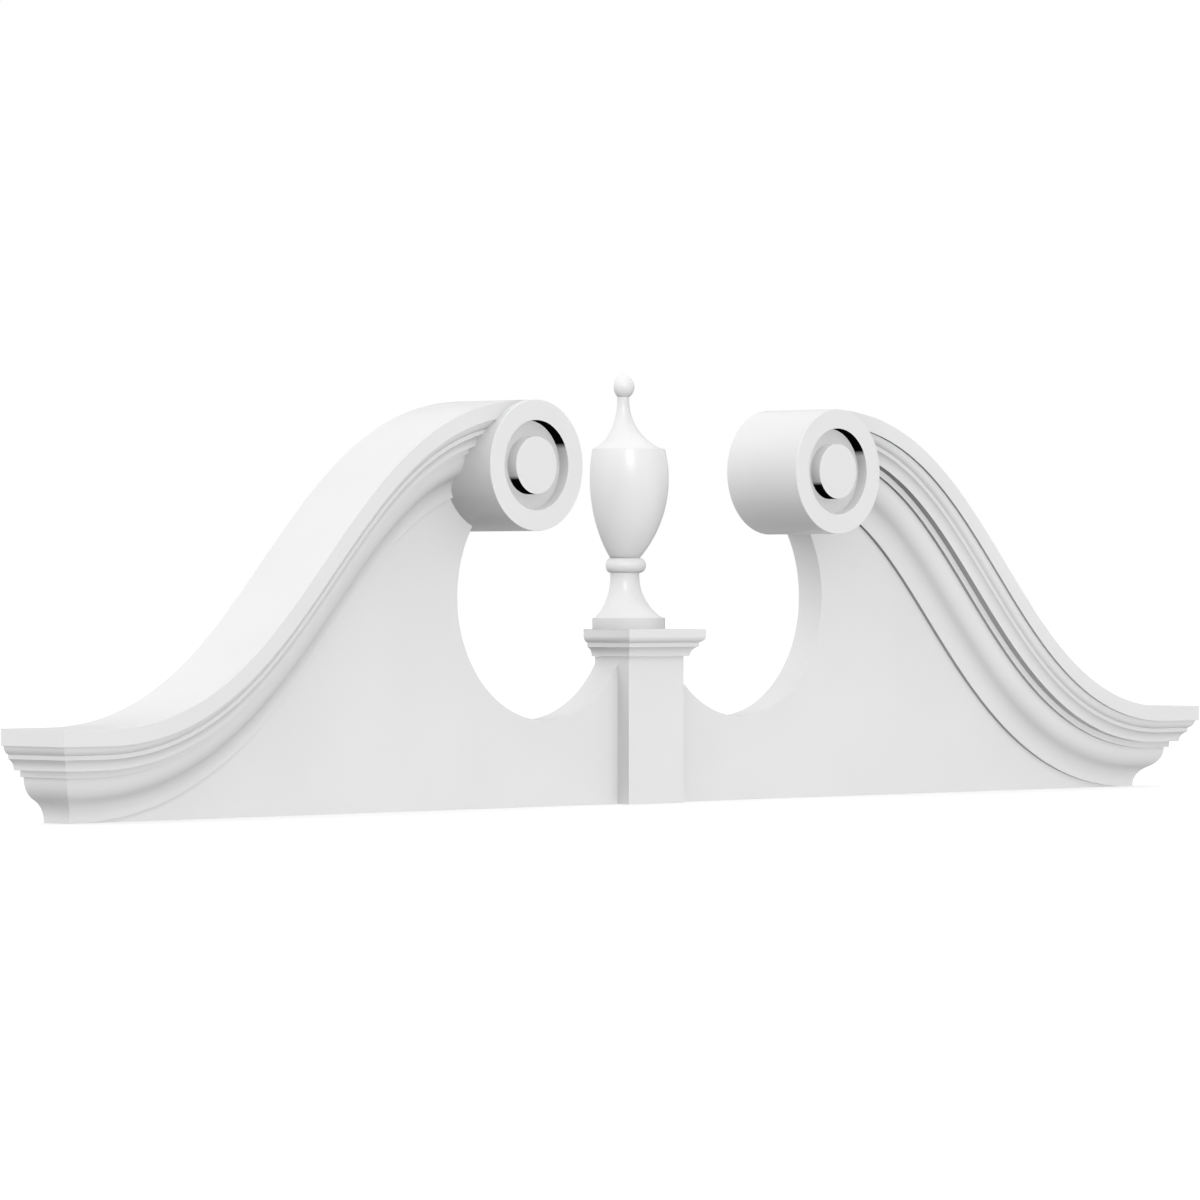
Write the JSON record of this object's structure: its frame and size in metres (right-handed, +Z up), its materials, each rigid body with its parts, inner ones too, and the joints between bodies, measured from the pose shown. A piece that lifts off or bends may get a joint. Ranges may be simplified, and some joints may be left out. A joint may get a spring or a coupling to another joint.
{
  "type": "door pediment",
  "caption": "Swan's-neck door pediment: S-curved crown mouldings rise from mitred end returns to round scroll drums, with a central pedestal and a half-round urn finial.",
  "frame": {"origin": "on the underside, midway between the ends and midway between the flat back and the scroll faces", "axes": "+X to the right as one faces the pediment, +Y to the wall, +Z up"},
  "size_m": [1.829, 0.1072, 0.4826],
  "materials": {
    "white_trim": "smooth white satin"
  },
  "bodies": {
    "root": {"backboard": "white_trim", "rake_moulding_left": "white_trim", "rake_moulding_right": "white_trim", "end_return_left": "white_trim", "end_return_right": "white_trim", "scroll_left": "white_trim", "scroll_right": "white_trim", "pedestal": "white_trim", "pedestal_cap": "white_trim", "urn": "white_trim"}
  },
  "joints": []
}
